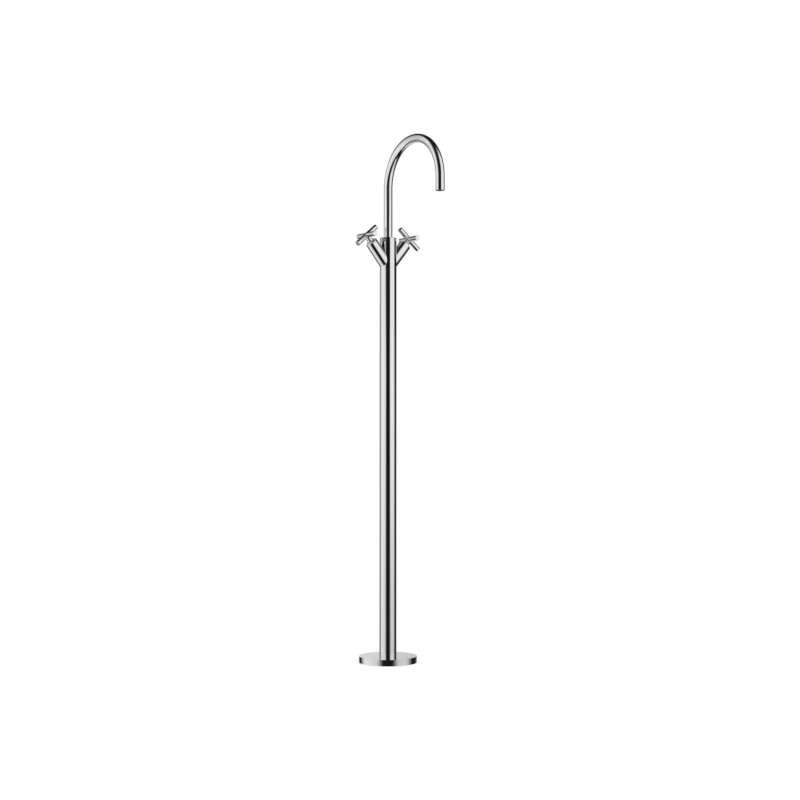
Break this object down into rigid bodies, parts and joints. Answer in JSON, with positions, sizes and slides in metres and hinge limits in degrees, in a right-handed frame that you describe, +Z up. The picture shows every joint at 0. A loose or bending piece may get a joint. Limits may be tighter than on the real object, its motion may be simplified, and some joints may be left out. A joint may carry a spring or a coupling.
{
  "type": "floor-standing basin mixer",
  "caption": "Floor-standing basin mixer: slim column on a round foot, cross handles on slanted branches, and a swivelling arched spout.",
  "frame": {"origin": "on the column's axis at floor level, in the middle of the circle of floor anchors", "axes": "+Z up along the column; the spout points along -Y at rest; hot is on the user's left, -X, and cold on the right, +X"},
  "size_m": [0.173, 0.2665, 1.162],
  "materials": {
    "chrome": "polished",
    "brass": "satin",
    "steel": "satin",
    "copper": "satin",
    "rubber": "matte",
    "ceramic": "satin",
    "plastic": "matte",
    "dark_plastic": "matte"
  },
  "bodies": {
    "stand": {"floor_plate": "steel", "inlet_block": "brass", "foot_screws": "steel", "base_cover": "chrome", "cover_seal": "rubber", "rim_seal": "rubber", "column_tube": "chrome", "pipe_spacers": "plastic", "hot_supply_pipe": "copper", "cold_supply_pipe": "copper", "hot_pipe_seals": "rubber", "cold_pipe_seals": "rubber", "mixer_body": "chrome", "top_ring": "chrome", "spout_glide_ring": "plastic", "hot_seat_seal": "rubber", "hot_fixed_disc": "ceramic", "hot_cartridge_body": "brass", "hot_cartridge_seal": "rubber", "hot_bonnet": "chrome", "cold_seat_seal": "rubber", "cold_fixed_disc": "ceramic", "cold_cartridge_body": "brass", "cold_cartridge_seal": "rubber", "cold_bonnet": "chrome"},
    "spout": {"spout_tube": "chrome", "spout_spigot": "brass", "spout_seals": "rubber", "aerator_housing": "dark_plastic", "aerator_insert": "dark_plastic", "aerator_filter": "steel", "aerator_washer": "rubber"},
    "hot_handle": {"hot_spindle": "brass", "hot_moving_disc": "ceramic", "hot_spindle_seals": "rubber", "hot_spindle_clip": "steel", "hot_cross_handle": "chrome", "hot_handle_screw": "steel"},
    "cold_handle": {"cold_spindle": "brass", "cold_moving_disc": "ceramic", "cold_spindle_seals": "rubber", "cold_spindle_clip": "steel", "cold_cross_handle": "chrome", "cold_handle_screw": "steel"}
  },
  "joints": [
    {"name": "spout_swivel", "type": "hinge", "parent": "stand", "child": "spout", "pos_m": [0, 0, 0.939], "axis": [0, 0, 1], "continuous": true},
    {"name": "hot_valve", "type": "hinge", "parent": "stand", "child": "hot_handle", "pos_m": [-0.05785, 0, 0.94694], "axis": [-0.6428, 0, 0.766], "range_deg": [0, 90]},
    {"name": "cold_valve", "type": "hinge", "parent": "stand", "child": "cold_handle", "pos_m": [0.05785, 0, 0.94694], "axis": [0.6428, 0, 0.766], "range_deg": [-90, 0]}
  ]
}
